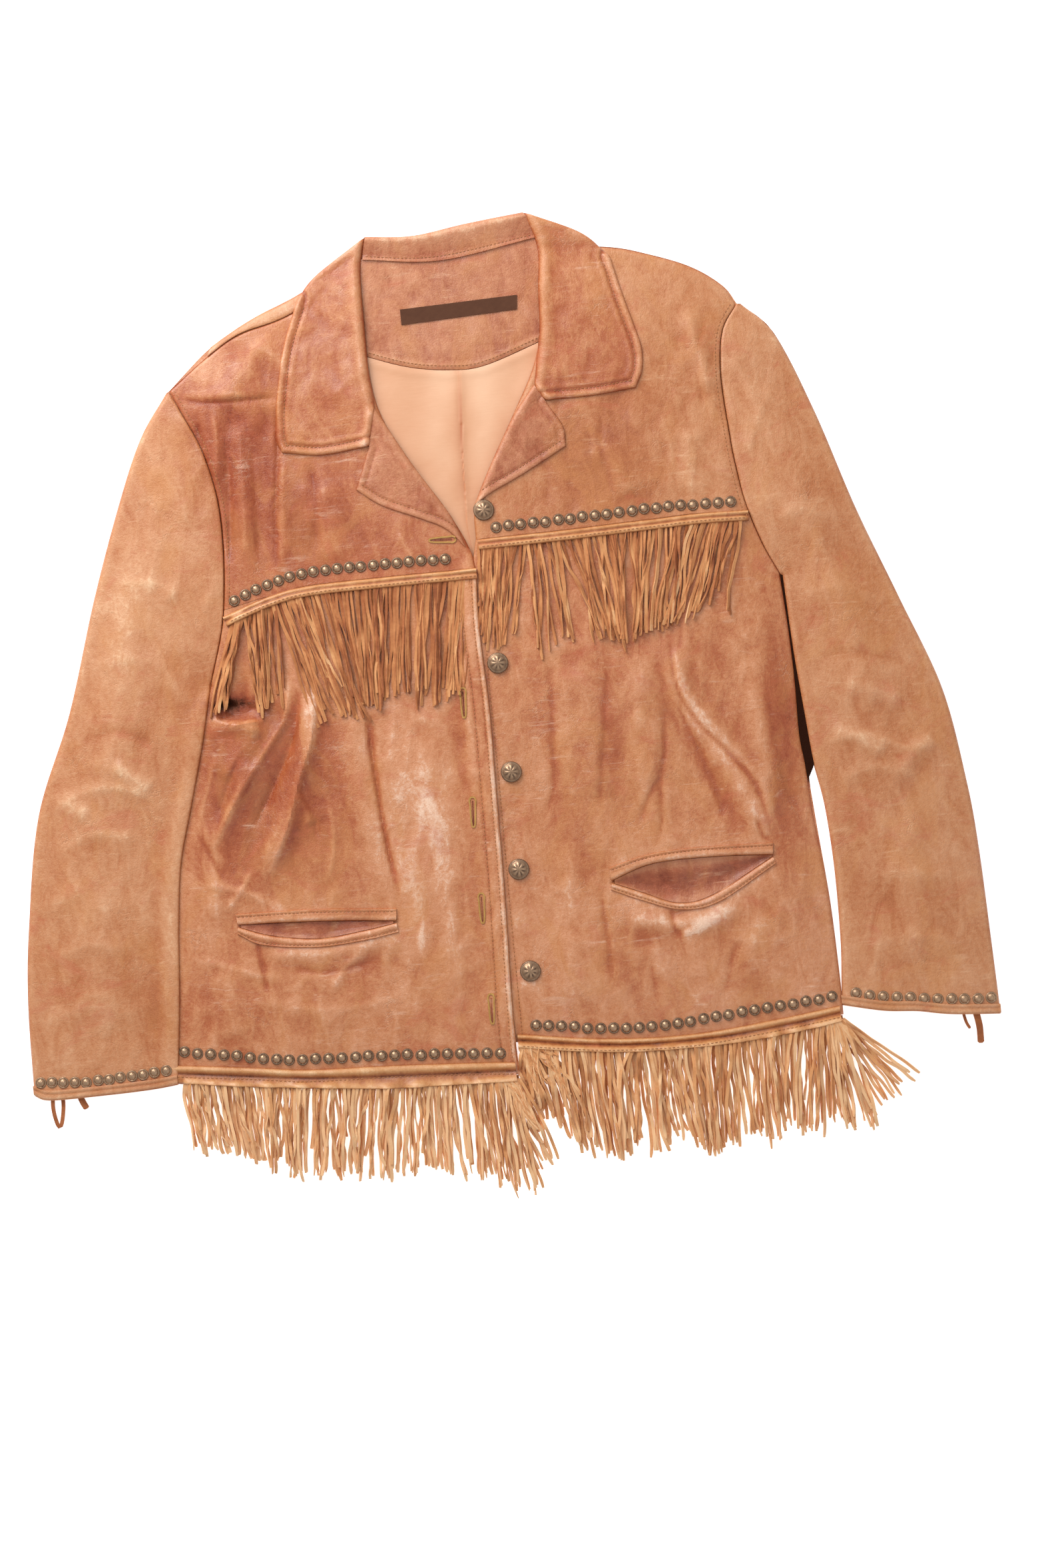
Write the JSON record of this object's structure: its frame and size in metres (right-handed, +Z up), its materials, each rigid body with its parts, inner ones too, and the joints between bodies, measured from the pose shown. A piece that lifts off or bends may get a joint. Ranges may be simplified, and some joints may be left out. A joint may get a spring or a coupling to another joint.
{
  "type": "studded leather jacket",
  "caption": "Short collared leather jacket laid flat, with studded seams, fringed yokes and hem, welt pockets and domed metal buttons, its fronts lapped but open.",
  "frame": {"origin": "centre of the jacket's bounding box, on the surface it lies on", "axes": "+Y up the centre back towards the collar, +X to the wearer's left, +Z up off the surface, so the front faces +Z"},
  "size_m": [0.817, 0.8195, 0.0143],
  "materials": {
    "tan_leather": "worn satin, lightly creased",
    "sleeve_leather": "worn satin, lightly creased",
    "facing_leather": "worn satin",
    "fringe_leather": "matte cut edges",
    "piping_leather": "satin",
    "satin_lining": "satin sheen",
    "label_cloth": "matte, bare",
    "antique_brass": "antique, dulled with bright high spots"
  },
  "bodies": {
    "root": {"back_panel": "tan_leather", "front_left": "tan_leather", "front_right": "tan_leather", "yoke_left": "tan_leather", "yoke_right": "tan_leather", "collar_fall_back": "tan_leather", "collar_leaf_left": "tan_leather", "collar_leaf_right": "tan_leather", "pocket_welt_upper_left": "tan_leather", "pocket_welt_upper_right": "tan_leather", "pocket_welt_lower_left": "tan_leather", "pocket_welt_lower_right": "tan_leather", "sleeve_left": "sleeve_leather", "sleeve_right": "sleeve_leather", "sleeve_under_left": "sleeve_leather", "sleeve_under_right": "sleeve_leather", "cuff_band_left": "sleeve_leather", "cuff_band_right": "sleeve_leather", "back_yoke_edge": "sleeve_leather", "lapel_left": "facing_leather", "lapel_right": "facing_leather", "neck_facing": "facing_leather", "collar_stand": "facing_leather", "pocket_facing_left": "facing_leather", "pocket_facing_right": "facing_leather", "fringe_chest_left": "fringe_leather", "fringe_chest_right": "fringe_leather", "fringe_hem_left": "fringe_leather", "fringe_hem_right": "fringe_leather", "cuff_tail_left_end": "fringe_leather", "cuff_tail_left_stub": "fringe_leather", "cuff_tail_right_end": "fringe_leather", "cuff_tail_right_loop": "fringe_leather", "yoke_band_left": "piping_leather", "yoke_band_right": "piping_leather", "hem_band_left": "piping_leather", "hem_band_right": "piping_leather", "back_lining": "satin_lining", "neck_label": "label_cloth", "button_1": "antique_brass", "button_2": "antique_brass", "button_3": "antique_brass", "button_4": "antique_brass", "button_5": "antique_brass", "studs_chest_left": "antique_brass", "studs_chest_right": "antique_brass", "studs_hem_left": "antique_brass", "studs_hem_right": "antique_brass", "studs_cuff_left": "antique_brass", "studs_cuff_right": "antique_brass"}
  },
  "joints": []
}
